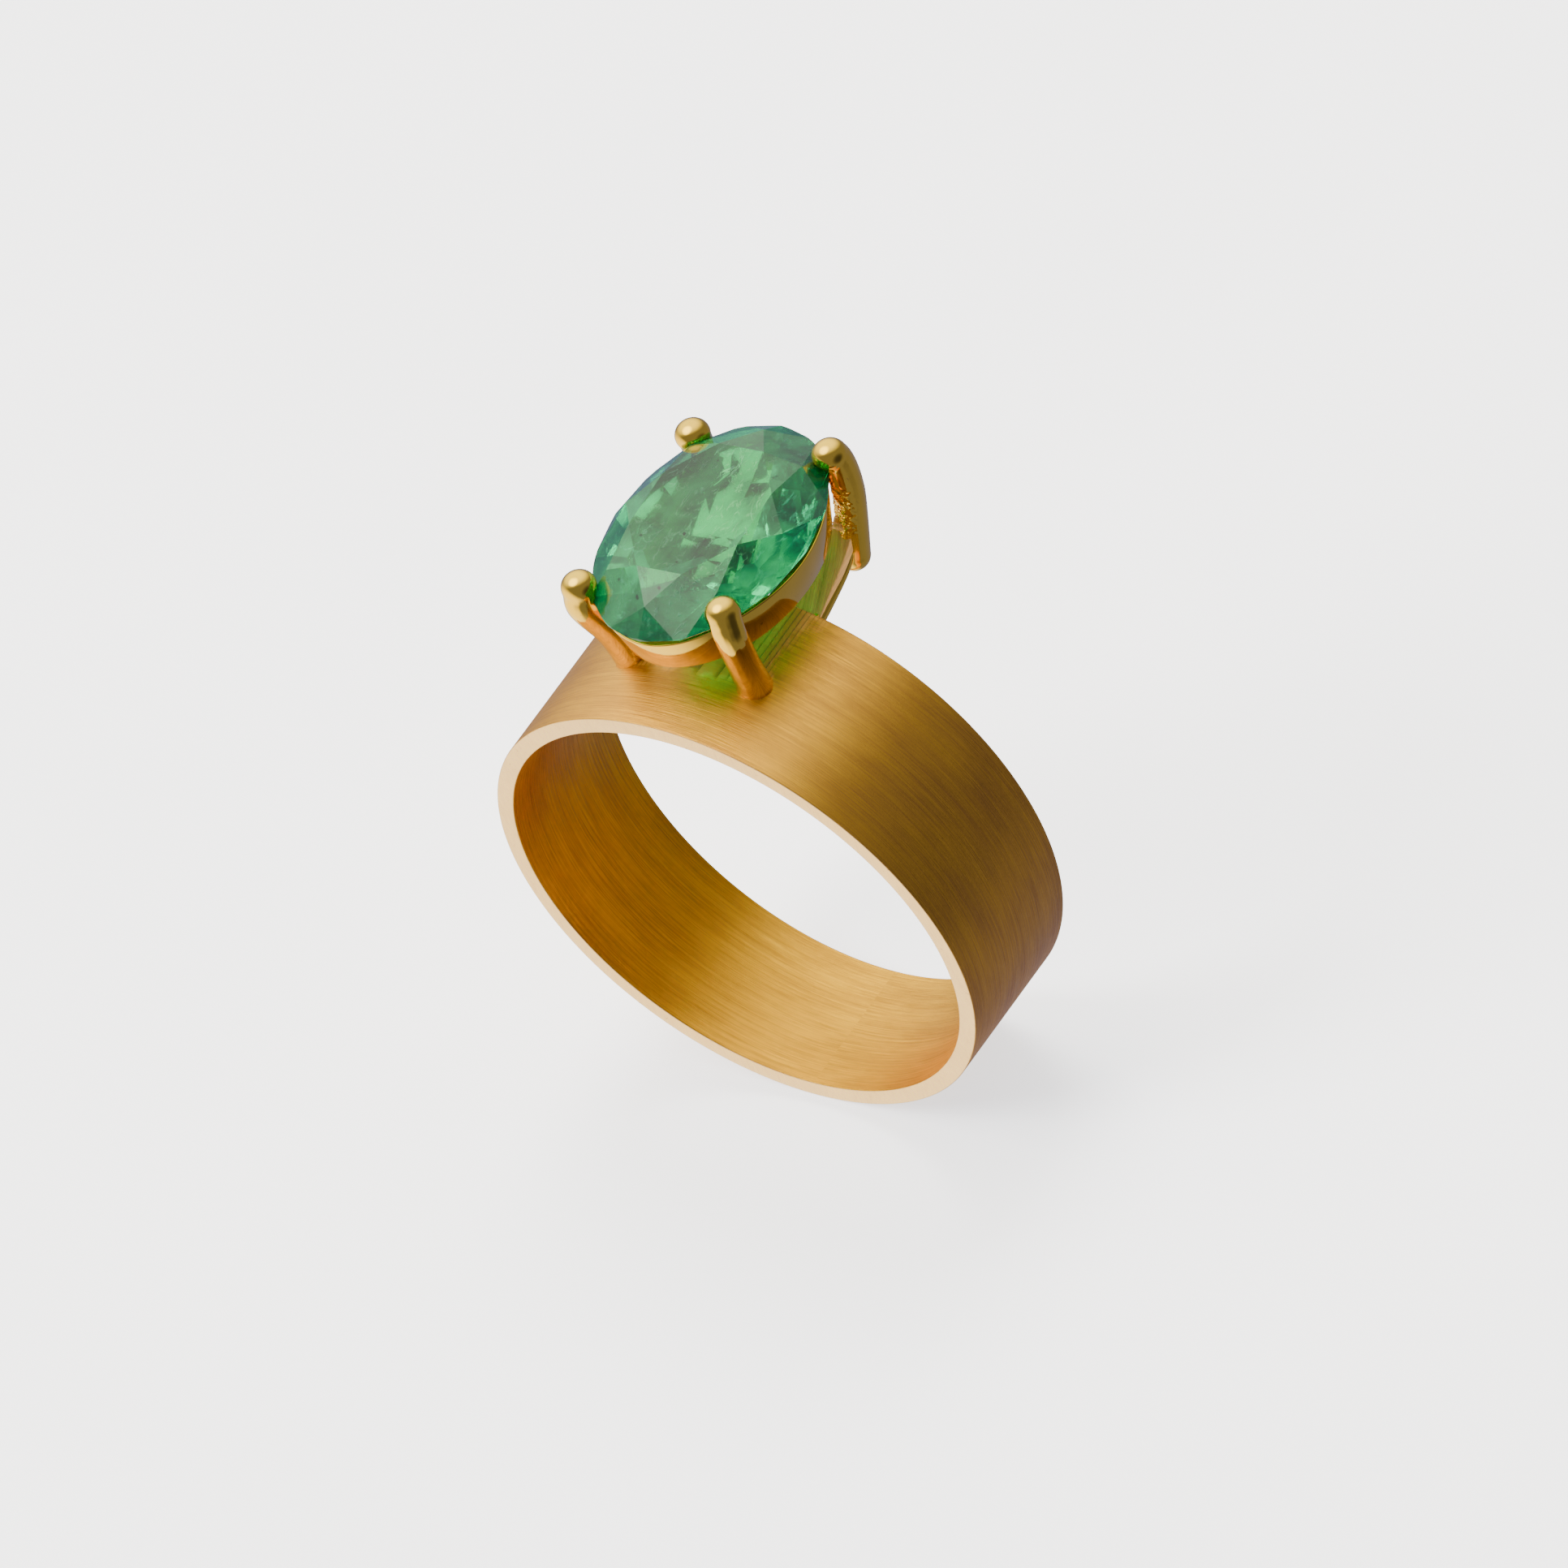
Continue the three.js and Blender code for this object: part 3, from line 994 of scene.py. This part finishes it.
# %% The arms
def widen_root(arm, line, side):
    """The inner edge of the strip spreads towards the band, so the arm grows out of the crown."""
    for point in arm.data.vertices:
        share = (point.co.y - line[0].y) / (line[-1].y - line[0].y)
        if point.co.x * side < ARM_ROOT:
            point.co.x -= side * ROOT_SPREAD * (1 - share) ** 2


def model_arm(tip, side):
    line = arm_line(tip, side)
    start_clean()
    bpy.ops.mesh.primitive_plane_add(size=ARM_WIDTH, location=line[0])
    arm = bpy.context.object
    bake_place(arm)
    edit(arm, "VERT")
    pick_points(arm, lambda p: p.y > line[0].y)
    bpy.ops.mesh.delete(type="VERT")
    bpy.ops.mesh.select_all(action="SELECT")
    lean = side * math.asin(ARM_ROOT / BAND_OUTER)
    bpy.ops.transform.translate(value=(0, ARM_WIDTH / 2, 0))
    leave_edit()
    for point in arm.data.vertices:
        from_middle = point.co.x - line[0].x
        point.co.z -= from_middle * math.tan(lean)
    edit(arm, "EDGE")
    bpy.ops.mesh.select_all(action="SELECT")
    for index, (start, stop) in enumerate(zip(line, line[1:])):
        bpy.ops.mesh.extrude_region_move(TRANSFORM_OT_translate={"value": stop - start})
        flatten = 1 - 1 / (len(line) - index)
        bpy.ops.transform.resize(value=(1, 1, flatten), center_override=stop)
    leave_edit()
    widen_root(arm, line, side)
    start_clean()
    under = -1 if arm.data.polygons[0].normal.z > 0 else 1
    apply_modifier(arm, "SOLIDIFY", thickness=ARM_THICKNESS, offset=under, use_even_offset=True)
    soften(arm, ARM_EDGE, 3)
    return arm


# %% [markdown]
# ## The arm's peg
# Where the arm meets the claw it ends in a short peg with two raised rings. It is a bevelled
# cylinder with two thin tori round it, joined to the arm. The flat map for the brush strokes
# comes last, so that it covers the strip and the peg alike.

# %% The peg and the arms together
PEG_RADIUS = 0.3
PEG_LENGTH = 0.6
PEG_EDGE = 0.09
PEG_LEAN = math.radians(60)
PEG_RINGS = (-0.1, 0.1)
RING_RADIUS = 0.035


def add_peg(tip, side):
    """The ringed peg that ends the arm, where it goes into the claw."""
    middle = arm_line(tip, side)[-1] + Vector((0, -0.12, -0.08))
    start_clean()
    bpy.ops.mesh.primitive_cylinder_add(
        vertices=32,
        radius=PEG_RADIUS,
        depth=PEG_LENGTH,
        location=middle,
        rotation=(-PEG_LEAN, 0, 0),
    )
    peg = bpy.context.object
    bake_place(peg)
    soften(peg, PEG_EDGE, 4)
    rings = [peg]
    for offset in PEG_RINGS:
        along = Vector((0, math.sin(PEG_LEAN), math.cos(PEG_LEAN))) * offset
        start_clean()
        bpy.ops.mesh.primitive_torus_add(
            location=middle + along,
            rotation=(-PEG_LEAN, 0, 0),
            major_radius=PEG_RADIUS,
            minor_radius=RING_RADIUS,
            major_segments=40,
            minor_segments=10,
        )
        bake_place(bpy.context.object)
        rings.append(bpy.context.object)
    return join(rings)


def map_along(arm):
    """The UV map that the brush strokes follow: first value along the arm, second across it."""
    for old in list(arm.data.uv_layers):
        arm.data.uv_layers.remove(old)
    layer = arm.data.uv_layers.new(name="around")
    for loop in arm.data.loops:
        place = arm.data.vertices[loop.vertex_index].co
        layer.data[loop.index].uv = (place.y, place.x + place.z * 0.5)


ARM_LIGHT = (1.0, 0.52, 0.13, 1)
ARM_DEEP = (0.60, 0.33, 0.08, 1)
ARM_SATIN = satin_gold("satin_gold_arm", ARM_LIGHT, ARM_DEEP, metallic=0.55)
SIDES = (("left", -1), ("right", 1))
for side_name, side in SIDES:
    tip = CLAWS["claw_back_" + side_name]["tip"]
    arm = join([model_arm(tip, side), add_peg(tip, side)])
    map_along(arm)
    piece_name = "swept_arm_" + side_name
    hand_over(arm, piece_name, ["arm_" + side_name], [ARM_SATIN], smooth=30)

# %% [markdown]
# ## The braces
# A short polished wire under each arm ties the foot of the back claw to the rim. It is drawn as
# the claws are, in one thickness, with both ends buried in the metal that it joins.

# %% The braces
BRACE_RADIUS = 0.27
BRACE_ROOT = 2.5


def brace_line(tip, side):
    foot = back_line(tip)[5]
    rim = half_width_at(BAND_OUTER) - 0.3
    crown = math.sqrt((BAND_OUTER - BAND_WALL / 2) ** 2 - BRACE_ROOT ** 2)
    return [
        Vector((side * BRACE_ROOT, rim, crown + 0.02)),
        Vector((side * BRACE_ROOT, rim + 0.75, crown + 0.14)),
        Vector((side * BRACE_ROOT * 0.97, foot.y - 0.85, crown + 0.55)),
        Vector((foot.x, foot.y - 0.1, foot.z + 0.5)),
    ]


for side_name, side in SIDES:
    line = smooth_line(brace_line(CLAWS["claw_back_" + side_name]["tip"], side))
    brace = draw_wire(line, lambda share: BRACE_RADIUS)
    piece_name = "under_brace_" + side_name
    nodes = ["brace_" + side_name]
    hand_over(brace, piece_name, nodes, [POLISHED_GOLD], smooth=50)

# %% [markdown]
# ## Setting the stone
# The stone was needed in millimetres until every seat was cut. The cutter can go now, and the
# stone itself is handed over last, without smoothing.

# %% Hand over the stone
bpy.data.objects.remove(SEAT_CUTTER)
hand_over(emerald, "oval_emerald", ["emerald"], [EMERALD])

# %% [markdown]
# ## The studio
# Polished metal shows what stands round it more than its own colour, so the room is the last part
# of its finish. The floor is pale and glows a little, and it is hidden from reflections and from
# shadow rays, so that the metal mirrors the room alone and the room lights the ring from below as
# well.


# %% Floor
FLOOR_TONES = ((0.86, 0.86, 0.86, 1), (0.9, 0.9, 0.9, 1))
FLOOR_GLOW = 1.6


def build_floor():
    start_clean()
    bpy.ops.mesh.primitive_plane_add(size=4, location=(0, 0, -BAND_OUTER * 0.001))
    floor = bpy.context.object
    bake_place(floor)
    floor.name = "floor"
    material, tree, shader = new_material("pale_floor")
    place = add_node(tree, "ShaderNodeTexCoord").outputs["Object"]
    grain = noise(tree, place, 60, detail=2)
    tone = mix_colour(tree, map_range(tree, grain, 0.3, 0.7), *FLOOR_TONES)
    tree.links.new(tone, shader.inputs["Base Color"])
    shader.inputs["Roughness"].default_value = 0.9
    shader.inputs["Emission Color"].default_value = (1, 1, 1, 1)
    shader.inputs["Emission Strength"].default_value = FLOOR_GLOW
    floor.data.materials.append(material)
    floor.visible_glossy = False
    floor.visible_shadow = False
    return floor


build_floor()
print("floor at", round(-BAND_OUTER, 2), "mm")

# %% [markdown]
# ## Lights
# Two soft disks, at the left and above, model the form of the ring. A disk would show as a hard
# dot in a polished ball, so both are hidden from reflections and the highlights are left to the
# room.


# %% Lights
LIGHT_DISTANCE = 0.4
LIGHT_SIZE = 0.2
LIGHT_POWER = 1.6


def soft_light(name, direction):
    data = bpy.data.lights.new(name, "AREA")
    data.shape = "DISK"
    data.size = LIGHT_SIZE
    data.energy = LIGHT_POWER
    light = bpy.data.objects.new(name, data)
    bpy.context.collection.objects.link(light)
    away = Vector(direction).normalized()
    light.location = away * LIGHT_DISTANCE
    light.rotation_euler = away.to_track_quat("Z", "Y").to_euler()
    light.visible_glossy = False


soft_light("key_left", (-0.6, -0.7, 0.9))
soft_light("top", (-0.2, 0.5, 1.0))
print("lights", len(bpy.data.lights))

# %% [markdown]
# ## The room
# The room is what the gold mirrors. It could be built from real screens, but they would stand in
# the way of other views, so it is drawn in the world: a dim ground, a broad screen above, a
# warmer one below the left, a dark flag at the right that keeps the brown tone of the band there,
# and a small lamp for the points of light on the balls. Each is a soft patch round one direction.


# %% Room
ROOM_STRENGTH = 1.6
ROOM_DARK = (0.15, 0.15, 0.27, 1)
ROOM_PALE = (1.4, 1.33, 1.18, 1)
ROOM_WARM = (1.5, 1.32, 1.05, 1)
ROOM_FLAG = (0.035, 0.035, 0.08, 1)
ROOM_LAMP = (3.2, 3.0, 2.6, 1)


def room_lobe(tree, direction, towards, start, stop):
    """How much of a soft screen is seen in a direction of the room."""
    dot = add_node(tree, "ShaderNodeVectorMath", {0: direction}, operation="DOT_PRODUCT")
    dot.inputs[1].default_value = Vector(towards).normalized()
    return map_range(tree, dot.outputs["Value"], start, stop, smooth=True)


def build_room():
    world = bpy.data.worlds.new("studio")
    bpy.context.scene.world = world
    world.use_nodes = True
    tree = world.node_tree
    background = tree.nodes["Background"]
    direction = add_node(tree, "ShaderNodeTexCoord").outputs["Generated"]
    screen = room_lobe(tree, direction, (-0.5, 0.4, 0.85), 0.35, 0.95)
    lamp = room_lobe(tree, direction, (-0.33, -0.14, 0.93), 0.86, 0.99)
    flag = room_lobe(tree, direction, (1.0, -0.1, -0.1), 0.72, 1.0)
    low_screen = room_lobe(tree, direction, (-0.6, -0.6, -0.6), 0.45, 0.95)
    colour = mix_colour(tree, screen, ROOM_DARK, ROOM_PALE)
    colour = mix_colour(tree, low_screen, colour, ROOM_WARM)
    colour = mix_colour(tree, flag, colour, ROOM_FLAG)
    colour = mix_colour(tree, lamp, colour, ROOM_LAMP)
    tree.links.new(colour, background.inputs["Color"])
    background.inputs["Strength"].default_value = ROOM_STRENGTH


build_room()
print("world", bpy.context.scene.world.name)
